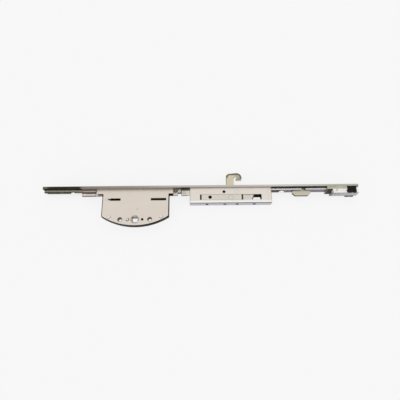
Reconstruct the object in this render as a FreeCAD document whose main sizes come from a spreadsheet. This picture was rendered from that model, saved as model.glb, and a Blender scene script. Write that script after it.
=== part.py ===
import FreeCAD, Part
import math
import os
import re
import Sketcher

# Window espagnolette: a long faceplate that carries a gear case for the handle, a hook case
# with a swinging hook, and the flat rods that the handle's gear moves along the faceplate.
# The origin is the middle of the spindle hole. X runs along the faceplate, Y out of its face,
# the way the hook points, and Z across the cases, along the spindle.

SIZES = {
    # Faceplate
    "backset": 50.0,
    "face_thick": 3.0,
    "face_width": 20.0,
    "face_left": 137.0,
    "face_right": 328.0,
    "face_end_round": 2.0,
    "screw_left": 112.0,
    "screw_right": 223.0,
    "face_screw_r": 2.3,
    "face_sink": 1.9,
    # Gear case
    "case_half": 49.0,
    "gear_thick": 9.0,
    "case_wall": 1.2,
    "foot_rise": 5.3,
    "foot_deep": 9.3,
    "ear_drop": 7.3,
    "ear_left": 8.6,
    "ear_right": 5.7,
    "ear_slant": 3.0,
    "case_edge_round": 0.6,
    "tab_wide": 5.0,
    "tab_clear": 0.15,
    "gear_tab_at": 35.0,
    "guide_slot_at": 33.4,
    "guide_slot_tall": 2.3,
    "guide_slot_drop": 16.2,
    "case_rivet_at": 37.7,
    "case_rivet_rise": 4.2,
    "rivet_r": 1.8,
    "rivet_head_r": 2.3,
    "rivet_head_tall": 0.35,
    "small_hole_at": 10.75,
    "small_hole_r": 1.9,
    # Handle screws and spindle
    "handle_screw_gap": 43.0,
    "handle_screw_r": 2.7,
    "sleeve_wall": 0.8,
    "sleeve_recess": 0.8,
    "spindle_square": 8.0,
    "hub_r": 6.4,
    "hub_rim": 1.2,
    "running_fit": 0.08,
    # Gear and rack
    "gear_module": 1.5,
    "gear_teeth": 15.0,
    "tooth_share": 0.8,
    "root_share": 1.0,
    "gear_wide": 3.6,
    "backlash": 0.16,
    "pressure_angle": 20.0,
    "tooth_sink": 0.3,
    "quarter_turn": 90.0,
    # Drive slide
    "slide_thick": 2.0,
    "slide_gap": 1.1,
    "slide_drop": 9.3,
    "tail_tall": 4.6,
    "tail_left": 80.0,
    "tail_right": 76.0,
    "wing_drop": 19.0,
    "wing_left": 46.0,
    "wing_right": 26.0,
    "web_left": 26.0,
    "web_right": 9.0,
    "link_hole_at": 58.1,
    "link_hole_r": 1.6,
    "guide_tab_long": 3.1,
    "guide_spare": 0.16,
    # Rods
    "rod_thick": 2.5,
    "rod_gap": 1.0,
    "rod_half": 5.3,
    "neck_half": 3.0,
    "rod_left_end": 136.0,
    "rod_neck_at": 80.5,
    "rod_neck_end": 60.0,
    "rod_slot_half": 2.7,
    "rod_end_round": 3.0,
    "guide_rivet_left": 93.0,
    "guide_rivet_right": 215.3,
    "guide_rivet_r": 1.5,
    "guide_rivet_head": 4.0,
    "guide_head_tall": 0.9,
    "seat_gap": 0.3,
    "connector_thick": 1.2,
    "pin_r": 1.5,
    "rivet_margin": 4.0,
    "rivet_rise": 2.5,
    # Link between the cases
    "link_left": 61.5,
    "link_right": 79.0,
    "link_tall": 4.9,
    "tongue_left": 66.9,
    "tongue_drop": 10.8,
    "tongue_tall": 8.2,
    # Hook case
    "hook_case_left": 79.2,
    "hook_case_right": 199.5,
    "hook_case_drop": 23.0,
    "hook_thick_case": 14.0,
    "hook_edge_round": 1.6,
    "window_left": 94.3,
    "window_right": 184.4,
    "window_drop": 19.0,
    "window_tall": 8.5,
    "hook_tab_first": 110.0,
    "hook_tab_second": 167.5,
    "hook_tab_third": 189.5,
    "lock_tab_first": 104.5,
    "lock_tab_second": 130.9,
    "lock_tab_third": 149.0,
    "lock_tab_fourth": 174.2,
    "lock_tab_wide": 3.0,
    "lock_tab_long": 3.0,
    "cover_hole_x": 129.6,
    "cover_hole_drop": 6.3,
    "cover_hole_r": 2.3,
    # Hook
    "pivot_x": 148.2,
    "pivot_drop": 6.5,
    "pivot_r": 2.5,
    "hook_thick": 8.0,
    "hook_boss_r": 6.0,
    "hook_reach": 31.7,
    "shank_left": 14.7,
    "shank_right": 3.4,
    "beak_right": 8.6,
    "beak_drop": 10.2,
    "gullet_drop": 5.8,
    "gullet_round": 1.2,
    "gullet_right": 2.7,
    "tip_left": 0.2,
    "tip_round": 1.2,
    "crown_round": 7.5,
    "brow_round": 5.5,
    "brow_drop": 1.0,
    "fork_long": 13.2,
    "fork_half": 5.9,
    "drive_pin_r": 2.0,
    "fork_clear": 0.85,
    "hook_slot_clear": 0.8,
    "hook_bevel": 0.9,
    # Hook slide
    "strip_thick": 1.2,
    "plate_left": 96.4,
    "plate_right": 155.4,
    "plate_gap": 0.25,
    "plate_hole_x": 109.0,
    "plate_hole_r": 2.6,
    "pin_head_r": 3.6,
    "strip_end": 171.0,
    "strip_slant": 3.4,
    "riser_left": 156.0,
    "riser_right": 193.0,
    "strip_left": 84.0,
    # Coupling and extension rod
    "right_rod_left": 186.0,
    "right_rod_end": 244.3,
    "block_left": 231.0,
    "block_right": 258.0,
    "block_drop": 11.4,
    "block_half": 2.4,
    "block_slant": 4.0,
    "rib_wide": 3.7,
    "block_screw_left": 237.5,
    "block_screw_right": 253.5,
    "block_screw_r": 1.2,
    "extension_left": 249.0,
    "extension_right": 305.0,
    # End of the faceplate
    "housing_left": 281.5,
    "housing_right": 310.5,
    "housing_drop": 5.7,
    "housing_half": 9.5,
    "passage_clear": 0.3,
    "end_block_left": 311.8,
    "end_block_right": 324.0,
    "end_block_half": 9.3,
    "end_block_drop": 10.1,
    "bracket_left": 288.0,
    "bracket_drop": 9.6,
    "bracket_thick": 2.0,
    "bracket_half": 6.5,
    "end_screw_r": 1.2,
    "end_screw_side": 7.8,
    "housing_screw_at": 296.0,
    "end_screw_at": 318.0,
}

# How near two places are when they count as the same one.
NEAR = 0.01

doc = FreeCAD.newDocument("espagnolette")
sheet = doc.addObject("Spreadsheet::Sheet", "sizes")
for row, (alias, value) in enumerate(SIZES.items(), start=1):
    sheet.set("A%d" % row, alias)
    sheet.set("B%d" % row, str(value))
    sheet.setAlias("B%d" % row, alias)
doc.recompute()

# Lengths that follow from the sizes, written once in the sheet's own words.
FACE_IN = "(backset - face_thick)"
CASE_SAG = "(foot_rise + foot_deep)"
CASE_ARC = "((case_half ^ 2 + %s ^ 2) / (2 * %s))" % (CASE_SAG, CASE_SAG)
ARC_MIDDLE = "(%s - foot_deep)" % CASE_ARC
EAR_LOW = "(%s - ear_drop)" % FACE_IN
PITCH = "(gear_module * gear_teeth / 2)"
RACK_TIP = "(%s - tooth_share * gear_module)" % PITCH
TRAVEL = "(gear_module * gear_teeth / 2 * quarter_turn * pi / 180)"
SLIDE_LOW = "(%s - slide_drop)" % FACE_IN
SLIDE_TOP = "(%s - slide_gap)" % FACE_IN
TAIL_TOP = "(%s + tail_tall)" % SLIDE_LOW
WING_LOW = "(%s - wing_drop)" % FACE_IN
ROD_TOP = "(%s - rod_gap)" % FACE_IN
ROD_LOW = "(%s - rod_thick)" % ROD_TOP
SLOT_MIDDLE = "(%s - guide_slot_drop)" % FACE_IN
HOOK_LOW = "(%s - hook_case_drop)" % FACE_IN
COVER_UNDER = "(hook_thick_case / 2 - case_wall)"
STRIP_TOP = "(%s - seat_gap)" % COVER_UNDER
STRIP_LOW = "(%s - strip_thick)" % STRIP_TOP
PIN_DROP = "(%s / 2)" % TRAVEL
LINK_LOW = "(%s - link_tall)" % SLIDE_TOP
SLOT_LONG = "(%s + guide_tab_long + guide_spare * 2)" % TRAVEL
WINDOW_LOW = "(%s - window_drop)" % FACE_IN
WINDOW_TOP = "(%s + window_tall)" % WINDOW_LOW
PIVOT_Y = "(%s - pivot_drop)" % FACE_IN
GULLET_TOP = "(hook_reach - gullet_drop)"
BEAK_END = "(hook_reach - beak_drop)"
TONGUE_LOW = "(%s - tongue_drop)" % FACE_IN
TONGUE_TOP = "(%s + tongue_tall)" % TONGUE_LOW
PIN_X = "(pivot_x - %s)" % PIN_DROP
PIN_Y = "(%s - %s)" % (PIVOT_Y, PIN_DROP)
BLOCK_LOW = "(%s - block_drop)" % FACE_IN
HOUSING_LOW = "(%s - housing_drop)" % FACE_IN
END_BLOCK_LOW = "(%s - end_block_drop)" % FACE_IN
BRACKET_LOW = "(%s - bracket_drop)" % FACE_IN


def bound(text):
    """The expression with the sheet's name put before each of its sizes."""
    return re.sub(r"[a-z_]+", lambda word: "sizes." + word.group() if word.group() in SIZES
                  else word.group(), text)


def worth(text):
    """What an expression comes to, in millimetres or degrees."""
    return float(sheet.evalExpression(bound(text)))


def body(label):
    """An empty body, which becomes one piece."""
    made = doc.addObject("PartDesign::Body", label)
    made.Label = label
    doc.recompute()
    return made


def sketch(owner, name, role="XY_Plane", offset="0"):
    """A sketch on one of the body's own planes, moved along its normal."""
    drawn = owner.newObject("Sketcher::SketchObject", name)
    plane = [part for part in owner.Origin.OriginFeatures if part.Role == role][0]
    drawn.AttachmentSupport = [(plane, "")]
    drawn.MapMode = "FlatFace"
    drawn.setExpression(".AttachmentOffset.Base.z", bound(offset))
    return drawn


def tie(drawn, kind, geometry, point, text):
    """Holds a point of the sketch at a distance from the sketch's origin."""
    index = drawn.addConstraint(Sketcher.Constraint(kind, -1, 1, geometry, point, worth(text)))
    drawn.setExpression("Constraints[%d]" % index, bound(text))


def outline(drawn, points):
    """A closed outline. A point with a third entry ends an arc of that radius, whose side
    the fourth entry gives: 1 bulges to the right of the way from point to point, -1 left."""
    places = [FreeCAD.Vector(worth(point[0]), worth(point[1]), 0) for point in points]
    edges = []
    for index, point in enumerate(points):
        start = places[index - 1]
        end = places[index]
        if len(point) == 2:
            edges.append(drawn.addGeometry(Part.LineSegment(start, end), False))
            continue
        radius = worth(point[2])
        chord = end - start
        right = FreeCAD.Vector(chord.y, -chord.x, 0).normalize() * point[3]
        rise = radius - math.sqrt(max(radius ** 2 - (chord.Length / 2) ** 2, 0))
        middle = (start + end) / 2 + right * rise
        edges.append(drawn.addGeometry(Part.Arc(start, middle, end), False))
    for index, edge in enumerate(edges):
        follower = edges[(index + 1) % len(edges)]
        arc = len(points[index]) > 2
        next_arc = len(points[(index + 1) % len(points)]) > 2
        leaves = 1 if arc and points[index][3] < 0 else 2
        starts = 2 if next_arc and points[(index + 1) % len(points)][3] < 0 else 1
        drawn.addConstraint(Sketcher.Constraint("Coincident", edge, leaves, follower, starts))
        tie(drawn, "DistanceX", edge, leaves, points[index][0])
        tie(drawn, "DistanceY", edge, leaves, points[index][1])
        if arc:
            held = drawn.addConstraint(Sketcher.Constraint("Radius", edge, worth(points[index][2])))
            drawn.setExpression("Constraints[%d]" % held, bound(points[index][2]))


def box_outline(drawn, left, low, right, top):
    """A rectangle from its lower left corner to its upper right one."""
    outline(drawn, [(left, low), (right, low), (right, top), (left, top)])


def circle(drawn, across, up, radius):
    """A circle, held at its middle and by its radius."""
    place = FreeCAD.Vector(worth(across), worth(up), 0)
    ring = drawn.addGeometry(Part.Circle(place, FreeCAD.Vector(0, 0, 1), worth(radius)), False)
    tie(drawn, "DistanceX", ring, 3, across)
    tie(drawn, "DistanceY", ring, 3, up)
    held = drawn.addConstraint(Sketcher.Constraint("Radius", ring, worth(radius)))
    drawn.setExpression("Constraints[%d]" % held, bound(radius))


def pad(owner, drawn, length, both_ways=False):
    """Material along the sketch's normal, or half of it on each side."""
    made = owner.newObject("PartDesign::Pad", drawn.Name + "_pad")
    made.Profile = drawn
    made.SideType = "Symmetric" if both_ways else "One side"
    made.setExpression("Length", bound(length))
    doc.recompute()
    return made


def pocket(owner, drawn, length, both_ways=False):
    """A cut against the sketch's normal, or half of it on each side."""
    before = owner.Shape.Volume
    made = owner.newObject("PartDesign::Pocket", drawn.Name + "_cut")
    made.Profile = drawn
    made.SideType = "Symmetric" if both_ways else "One side"
    made.setExpression("Length", bound(length))
    doc.recompute()
    if made.Shape.Volume >= before:
        raise ValueError(drawn.Name + " cuts nothing")
    return made


def edges_where(shape, wanted):
    """The names of the edges that a test picks."""
    return ["Edge%d" % (index + 1) for index, edge in enumerate(shape.Edges) if wanted(edge)]


def round_edges(owner, wanted, radius, kind="PartDesign::Fillet", size="Radius"):
    """Rounds or bevels the edges that a test picks."""
    base = owner.Tip
    names = edges_where(base.Shape, wanted)
    made = owner.newObject(kind, owner.Name + "_edges")
    made.Base = (base, names)
    made.setExpression(size, bound(radius))
    doc.recompute()
    return made


def pin(name, across, up, low, high, radius, along="z"):
    """A round pin between two heights, along Z or along Y."""
    made = doc.addObject("Part::Cylinder", name)
    made.setExpression("Radius", bound(radius))
    made.setExpression("Height", bound("(%s) - (%s)" % (high, low)))
    made.setExpression(".Placement.Base.x", bound(across))
    if along == "z":
        made.setExpression(".Placement.Base.y", bound(up))
        made.setExpression(".Placement.Base.z", bound(low))
    else:
        made.Placement.Rotation = FreeCAD.Rotation(FreeCAD.Vector(1, 0, 0), -90)
        made.setExpression(".Placement.Base.y", bound(low))
        made.setExpression(".Placement.Base.z", bound(up))
    return made


def fused(name, pieces):
    """Several primitives made into one solid."""
    made = doc.addObject("Part::MultiFuse", name)
    made.Shapes = pieces
    return made


def cut(name, base, tool):
    """One primitive taken out of another."""
    made = doc.addObject("Part::Cut", name)
    made.Base = base
    made.Tool = tool
    return made


def group(label, pieces):
    """Like pieces that share one node as separate solids."""
    made = doc.addObject("Part::Compound", label)
    made.Label = label
    made.Links = pieces
    return made


def make_faceplate():
    """The long flat bar, with the hook's slot, the slots for the cases' tabs, two countersunk
    screw holes and the holes of the riveted rod guides."""
    owner = body("faceplate")
    bar = sketch(owner, "bar", "XZ_Plane", "-backset")
    box_outline(bar, "-face_left", "-face_width / 2", "face_right", "face_width / 2")
    pad(owner, bar, "face_thick")
    middle = "face_thick / 2 - backset"
    gap = sketch(owner, "hook_slot", "XZ_Plane", middle)
    half = "(hook_thick / 2 + hook_slot_clear)"
    box_outline(gap, "pivot_x - hook_reach - hook_slot_clear", "-" + half,
                "pivot_x - shank_right + hook_slot_clear * 3", half)
    pocket(owner, gap, "face_thick * 3", True)
    screws = sketch(owner, "face_screws", "XZ_Plane", middle)
    circle(screws, "-screw_left", "0", "face_screw_r")
    circle(screws, "screw_right", "0", "face_screw_r")
    circle(screws, "-guide_rivet_left", "0", "guide_rivet_r")
    circle(screws, "guide_rivet_right", "0", "guide_rivet_r")
    for place in ("-gear_tab_at", "gear_tab_at"):
        tab_slot(screws, place, "gear_thick / 2")
        tab_slot(screws, place, "case_wall - gear_thick / 2")
    for place in ("hook_tab_first", "hook_tab_second", "hook_tab_third"):
        tab_slot(screws, place, "hook_thick_case / 2")
        tab_slot(screws, place, "case_wall - hook_thick_case / 2")
    pocket(owner, screws, "face_thick * 3", True)

    def screw_mouth(edge):
        ring = getattr(edge.Curve, "Radius", 0)
        outer = abs(edge.BoundBox.YMin - worth("backset")) < NEAR
        return abs(ring - worth("face_screw_r")) < NEAR and outer

    round_edges(owner, screw_mouth, "face_sink", "PartDesign::Chamfer", "Size")
    corner = worth("face_width / 2")
    round_edges(owner, lambda edge: edge.BoundBox.XLength < NEAR and edge.BoundBox.ZLength < NEAR
                and abs(abs(edge.BoundBox.ZMin) - corner) < NEAR, "face_end_round")
    return owner


def tab_slot(drawn, place, top):
    """A slot for a case's tab: its length lies along X and its height is the case's wall."""
    box_outline(drawn, "%s - tab_wide / 2 - tab_clear" % place, "%s - case_wall - tab_clear" % top,
                "%s + tab_wide / 2 + tab_clear" % place, "%s + tab_clear" % top)


def face_tab(owner, place, low):
    """A tab of the case that goes through the faceplate and ends flush with it."""
    drawn = sketch(owner, "face_tab", "XY_Plane", low)
    box_outline(drawn, "%s - tab_wide / 2" % place, "%s - case_wall" % FACE_IN,
                "%s + tab_wide / 2" % place, "backset")
    pad(owner, drawn, "case_wall")


def make_gear_shell(label, low, cavity_top, hub_side_holes):
    """One pressed half of the gear case: a flat front with a rim all round but at the top,
    and an ear on each side that reaches under the faceplate."""
    owner = body(label)
    shape = sketch(owner, label + "_outline", "XY_Plane", low)
    left_ear = "-(case_half + ear_left)"
    right_ear = "(case_half + ear_right)"
    outline(shape, [
        ("-case_half", "foot_rise"),
        ("case_half", "foot_rise", CASE_ARC, 1),
        ("case_half", EAR_LOW),
        (right_ear, EAR_LOW),
        (right_ear, FACE_IN),
        (left_ear + " + ear_slant", FACE_IN),
        (left_ear, FACE_IN + " - ear_slant"),
        (left_ear, EAR_LOW),
        ("-case_half", EAR_LOW),
    ])
    pad(owner, shape, "gear_thick / 2")
    outer_face = worth("gear_thick / 2" if hub_side_holes else low)
    ear_low = worth(EAR_LOW)

    def outer_edge(edge):
        flat = edge.BoundBox.ZLength < NEAR and abs(edge.BoundBox.ZMin - outer_face) < NEAR
        return flat and edge.BoundBox.YMax < ear_low + NEAR and edge.BoundBox.YMin < ear_low - NEAR

    round_edges(owner, outer_edge, "case_edge_round", "PartDesign::Chamfer", "Size")
    hollow = sketch(owner, label + "_hollow", "XY_Plane", cavity_top)
    inner = "(case_half - case_wall)"
    inner_foot = "(%s - sqrt((%s - case_wall) ^ 2 - %s ^ 2))" % (ARC_MIDDLE, CASE_ARC, inner)
    reach = "(case_half + ear_left + ear_right)"
    slide_way = "(%s - seat_gap)" % SLIDE_LOW
    above = "(backset + face_thick)"
    outline(hollow, [
        ("-" + inner, inner_foot),
        (inner, inner_foot, "(%s - case_wall)" % CASE_ARC, 1),
        (inner, slide_way),
        (reach, slide_way),
        (reach, above),
        ("-" + reach, above),
        ("-" + reach, slide_way),
        ("-" + inner, slide_way),
    ])
    pocket(owner, hollow, "gear_thick / 2 - case_wall")
    plate_low = "gear_thick / 2 - case_wall" if hub_side_holes else low
    for place in ("-gear_tab_at", "gear_tab_at"):
        face_tab(owner, place, plate_low)
    holes = sketch(owner, label + "_holes", "XY_Plane", "0")
    circle(holes, "0", "0", "hub_r + running_fit")
    for side in ("-", ""):
        circle(holes, side + "handle_screw_gap / 2", "0", "handle_screw_r + sleeve_wall")
        circle(holes, side + "case_rivet_at", "case_rivet_rise", "rivet_r")
        box_outline(holes, "%sguide_slot_at - %s / 2" % (side, SLOT_LONG),
                    "%s - guide_slot_tall / 2" % SLOT_MIDDLE,
                    "%sguide_slot_at + %s / 2" % (side, SLOT_LONG),
                    "%s + guide_slot_tall / 2" % SLOT_MIDDLE)
    if hub_side_holes:
        circle(holes, "small_hole_at", "0", "small_hole_r")
    pocket(owner, holes, "gear_thick * 3", True)
    return owner


def make_gear_rivets():
    """Two rivets that close the gear case, with a flat head on the handle's side."""
    rivets = []
    face = "gear_thick / 2"
    for name, side in (("left", "-"), ("right", "")):
        place = (side + "case_rivet_at", "case_rivet_rise")
        head = "%s + rivet_head_tall" % face
        rivets.append(fused("case_rivet_" + name, [
            pin("case_shank_" + name, *place, "-(%s)" % face, face, "rivet_r"),
            pin("case_head_" + name, *place, face, head, "rivet_head_r"),
        ]))
    return group("gear_case_rivets", rivets)


def make_sleeves():
    """Two tubes between the shells, which the handle's screws pass through."""
    sleeves = []
    for name, side in (("left", "-"), ("right", "")):
        place = side + "handle_screw_gap / 2"
        face = "gear_thick / 2"
        sleeves.append(cut(
            "sleeve_" + name,
            pin("sleeve_out_" + name, place, "0", "sleeve_recess - " + face, face + " - sleeve_recess",
                "handle_screw_r + sleeve_wall"),
            pin("sleeve_in_" + name, place, "0", "-gear_thick", "gear_thick", "handle_screw_r"),
        ))
    return group("handle_screw_sleeves", sleeves)


def involute(base, radius):
    """The angle that an involute has turned through at a radius, in radians."""
    reach = math.sqrt(max((radius / base) ** 2 - 1, 0))
    return reach - math.atan(reach)


def tooth_outline(middle, pitch, tip, root, base, half_angle):
    """The edges of one involute tooth, from the root on one side to the root on the other."""
    flank_steps = 3
    start = max(base, root)
    flank = []
    for step in range(flank_steps + 1):
        radius = start + (tip - start) * step / flank_steps
        turn = half_angle + involute(base, pitch) - involute(base, radius)
        flank.append((radius, turn))
    if root < base:
        flank.insert(0, (root, flank[0][1]))
    first = [polar(radius, middle + turn) for radius, turn in flank]
    second = [polar(radius, middle - turn) for radius, turn in reversed(flank)]
    return first, second


def polar(radius, angle):
    """A point in the XY plane at a radius and an angle in radians."""
    return FreeCAD.Vector(radius * math.cos(angle), radius * math.sin(angle), 0)


def make_hub():
    """The hub with its square hole for the handle's spindle. Only the quarter that meets the
    rack, and a little more at each side, has teeth: below the hub the case is too shallow."""
    pitch = worth(PITCH)
    module = worth("gear_module")
    tip = pitch + module * worth("tooth_share")
    root = pitch - module * worth("root_share")
    base = pitch * math.cos(math.radians(worth("pressure_angle")))
    pitch_angle = 2 * math.pi / worth("gear_teeth")
    half_angle = pitch_angle / 4 - worth("backlash") / (4 * pitch)
    spare = 1
    count = int(worth("quarter_turn") / math.degrees(pitch_angle)) + 2 * spare
    sink = worth("tooth_sink")
    wide = worth("gear_wide")
    lift = FreeCAD.Vector(0, 0, wide)
    down = FreeCAD.Vector(0, 0, -wide / 2)
    along = FreeCAD.Vector(0, 0, 1)
    first_edge = 90 - math.degrees(pitch_angle) * (spare + 0.5)
    swept = math.degrees(pitch_angle) * (count + 1)
    sector = Part.makeCylinder(root, wide, down, along, swept)
    sector.rotate(FreeCAD.Vector(), along, first_edge)
    solid = Part.makeCylinder(worth("hub_r + hub_rim"), wide, down).fuse(sector)
    for index in range(-spare, count + 1 - spare):
        middle = math.pi / 2 + index * pitch_angle
        first, second = tooth_outline(middle, pitch, tip, root - sink, base, half_angle)
        edges = [Part.LineSegment(*pair).toShape() for pair in zip(first, first[1:])]
        edges.append(Part.Arc(first[-1], polar(tip, middle), second[0]).toShape())
        edges += [Part.LineSegment(*pair).toShape() for pair in zip(second, second[1:])]
        edges.append(Part.LineSegment(second[-1], first[0]).toShape())
        tooth = Part.Face(Part.Wire(edges)).extrude(lift)
        tooth.translate(down)
        solid = solid.fuse(tooth)
    tall = worth("gear_thick - rivet_head_tall / 2")
    boss = Part.makeCylinder(worth("hub_r"), tall, FreeCAD.Vector(0, 0, -tall / 2))
    square = worth("spindle_square")
    hole = Part.makeBox(square, square, 2 * tall, FreeCAD.Vector(-square / 2, -square / 2, -tall))
    solid = solid.fuse(boss).cut(hole).removeSplitter()
    made = doc.addObject("Part::Feature", "hub")
    made.Label = "hub"
    made.Shape = solid
    return made


def make_drive_slide():
    """The flat plate with the rack. Its tails leave the gear case through both ears."""
    owner = body("drive_slide")
    plate = sketch(owner, "drive_plate", "XY_Plane", "-slide_thick / 2")
    outline(plate, [
        ("-tail_left", SLIDE_LOW),
        ("-wing_left", SLIDE_LOW),
        ("-wing_left", WING_LOW),
        ("-web_left", WING_LOW),
        ("-web_left", RACK_TIP),
        ("web_right", RACK_TIP),
        ("web_right", WING_LOW),
        ("wing_right", WING_LOW),
        ("wing_right", SLIDE_LOW),
        ("link_left", SLIDE_LOW),
        ("link_left", LINK_LOW),
        ("tongue_left", LINK_LOW),
        ("tongue_left", SLIDE_LOW),
        ("tail_right", SLIDE_LOW),
        ("tail_right", SLIDE_TOP),
        ("-case_half - case_wall", SLIDE_TOP),
        ("-case_half - case_wall", TAIL_TOP),
        ("-tail_left", TAIL_TOP),
    ])
    pad(owner, plate, "slide_thick")
    space = sketch(owner, "rack_space", "XY_Plane", "0")
    step = "(gear_module * pi)"
    slope = "tan(pressure_angle)"
    mouth = "(%s - plate_gap)" % RACK_TIP
    mouth_half = "(%s / 4 + backlash / 4 + (%s - %s) * %s)" % (step, PITCH, mouth, slope)
    root_half = "(%s / 4 + backlash / 4 - root_share * gear_module * %s)" % (step, slope)
    spaces_left = int(worth("(web_left - gear_module) / %s" % step))
    first = "-%d * %s" % (spaces_left, step)
    outline(space, [
        ("%s - %s" % (first, mouth_half), mouth),
        ("%s + %s" % (first, mouth_half), mouth),
        ("%s + %s" % (first, root_half), "%s + root_share * gear_module" % PITCH),
        ("%s - %s" % (first, root_half), "%s + root_share * gear_module" % PITCH),
    ])
    gap = pocket(owner, space, "slide_thick * 2", True)
    count = spaces_left + 1 + int(worth("(web_right - gear_module) / %s" % step))
    rack = owner.newObject("PartDesign::LinearPattern", "rack_teeth")
    rack.Originals = [gap]
    rack.Direction = (space, ["H_Axis"])
    rack.setExpression("Length", bound("%d * %s" % (count - 1, step)))
    rack.Occurrences = count
    owner.Tip = rack
    doc.recompute()
    holes = sketch(owner, "drive_holes", "XY_Plane", "0")
    circle(holes, "link_hole_at", "%s - pin_r" % SLIDE_TOP, "link_hole_r")
    for place in link_rivet_places() + connector_rivet_places():
        circle(holes, place[0], place[1], "pin_r")
    for place in guide_tab_places():
        box_outline(holes, place + " - guide_tab_long / 2", "%s - guide_slot_tall / 4" % SLOT_MIDDLE,
                    place + " + guide_tab_long / 2", "%s + guide_slot_tall / 4" % SLOT_MIDDLE)
    pocket(owner, holes, "slide_thick * 2", True)
    return owner


def guide_tab_places():
    """Where the two guide tabs stand when the hook is out: at the left ends of their slots."""
    start = "guide_slot_at - %s / 2 + guide_spare + guide_tab_long / 2" % SLOT_LONG
    return ["-guide_slot_at * 2 + " + start, start]


def make_guide_tabs():
    """Two tabs that guide the drive slide in the slots of the shells. The left one reaches
    the face of the case, and the right one stays just below it."""
    tabs = []
    for name, place, top in (("left", guide_tab_places()[0], "gear_thick / 2 - plate_gap"),
                             ("right", guide_tab_places()[1], "gear_thick / 2 - case_wall + plate_gap")):
        tab = doc.addObject("Part::Box", "guide_tab_" + name)
        foot = doc.addObject("Part::Box", "guide_foot_" + name)
        for piece, tall, low, high in ((tab, "guide_slot_tall - seat_gap", "slide_thick / 2", top),
                                       (foot, "guide_slot_tall / 2", "-slide_thick / 2",
                                        "slide_thick / 2")):
            piece.setExpression("Length", bound("guide_tab_long"))
            piece.setExpression("Width", bound(tall))
            piece.setExpression("Height", bound("(%s) - (%s)" % (high, low)))
            piece.setExpression(".Placement.Base.x", bound(place + " - guide_tab_long / 2"))
            piece.setExpression(".Placement.Base.y", bound("%s - (%s) / 2" % (SLOT_MIDDLE, tall)))
            piece.setExpression(".Placement.Base.z", bound(low))
        tabs.append(fused("guide_" + name, [tab, foot]))
    return group("guide_tabs", tabs)


def connector_rivet_places():
    """The rivets that hold the left connector to the drive slide's tail."""
    middle = "(%s + %s) / 2" % (SLIDE_LOW, TAIL_TOP)
    return [("-tail_left + rivet_margin", middle)]


def link_rivet_places():
    """Where the rivet goes through the link between the cases."""
    return [("tongue_left + rivet_margin", "%s + rivet_rise" % SLIDE_LOW)]


def rod_slot(drawn, left, right):
    """A slot with square ends along the middle of a rod."""
    box_outline(drawn, left, "-rod_slot_half", right, "rod_slot_half")


def make_left_rod():
    """The flat rod behind the left half of the faceplate. One long slot lets it pass the
    riveted guide and the wood screw, and its narrow neck fits between the ears."""
    owner = body("left_rod")
    bar = sketch(owner, "left_bar", "XZ_Plane", "-" + ROD_TOP)
    outline(bar, [
        ("-rod_left_end", "-rod_half"),
        ("-rod_neck_at", "-rod_half"),
        ("-rod_neck_at", "-neck_half"),
        ("-rod_neck_end", "-neck_half"),
        ("-rod_neck_end", "neck_half"),
        ("-rod_neck_at", "neck_half"),
        ("-rod_neck_at", "rod_half"),
        ("-rod_left_end", "rod_half"),
    ])
    pad(owner, bar, "rod_thick")
    holes = sketch(owner, "left_rod_slot", "XZ_Plane", "rod_thick / 2 - " + ROD_TOP)
    rod_slot(holes, "-screw_left - rod_slot_half - %s" % TRAVEL, "-guide_rivet_left + rod_slot_half")
    for place in left_pin_places():
        circle(holes, place, "0", "pin_r")
    pocket(owner, holes, "rod_thick * 3", True)
    end = worth("rod_left_end")
    round_edges(owner, lambda edge: edge.BoundBox.ZLength < NEAR
                and abs(edge.BoundBox.XMax + end) < NEAR, "rod_end_round")
    return owner


def left_pin_places():
    """The rivets that hold the left rod's neck to its connector."""
    return ["-rod_neck_end - rivet_margin"]


def make_left_connector():
    """The angle piece between the left rod's neck and the drive slide's tail."""
    owner = body("left_connector")
    web = sketch(owner, "left_web", "XZ_Plane", "-" + ROD_LOW)
    box_outline(web, "-rod_neck_at + seat_gap", "-neck_half", "-rod_neck_end", "neck_half")
    pad(owner, web, "%s - %s" % (ROD_LOW, TAIL_TOP))
    leg = sketch(owner, "left_leg", "XY_Plane", "slide_thick / 2")
    box_outline(leg, "-rod_neck_at + seat_gap", "%s + seat_gap" % SLIDE_LOW, "-rod_neck_end", ROD_LOW)
    pad(owner, leg, "connector_thick")
    flat = sketch(owner, "left_web_holes", "XZ_Plane", "-" + ROD_LOW)
    for place in left_pin_places():
        circle(flat, place, "0", "pin_r")
    pocket(owner, flat, "rod_thick * 2", True)
    side = sketch(owner, "left_leg_holes", "XY_Plane", "slide_thick")
    for place in connector_rivet_places():
        circle(side, place[0], place[1], "pin_r")
    pocket(owner, side, "slide_thick * 3", True)
    return owner


def make_left_rivets():
    """The flush rivets of the left connector, up through the rod and across the slide."""
    rivets = []
    for index, place in enumerate(left_pin_places()):
        rivets.append(pin("left_up_%d" % index, place, "0", TAIL_TOP, ROD_TOP, "pin_r", "y"))
    for index, place in enumerate(connector_rivet_places()):
        rivets.append(pin("left_across_%d" % index, place[0], place[1], "-slide_thick / 2",
                          "slide_thick / 2 + connector_thick", "pin_r"))
    return group("left_connector_rivets", rivets)


def make_slide_link():
    """The packing piece that steps up from the drive slide to the hook slide."""
    owner = body("slide_link")
    plate = sketch(owner, "link_plate", "XY_Plane", "slide_thick / 2")
    outline(plate, [
        ("link_left", LINK_LOW),
        ("tongue_left", LINK_LOW),
        ("tongue_left", SLIDE_LOW),
        ("link_right", SLIDE_LOW),
        ("link_right", SLIDE_TOP),
        ("link_left", SLIDE_TOP),
    ])
    pad(owner, plate, "%s - slide_thick / 2" % STRIP_LOW)
    holes = sketch(owner, "link_holes", "XY_Plane", "slide_thick")
    for place in link_rivet_places():
        circle(holes, place[0], place[1], "pin_r")
    pocket(owner, holes, "hook_thick_case * 2", True)
    return owner


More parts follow.
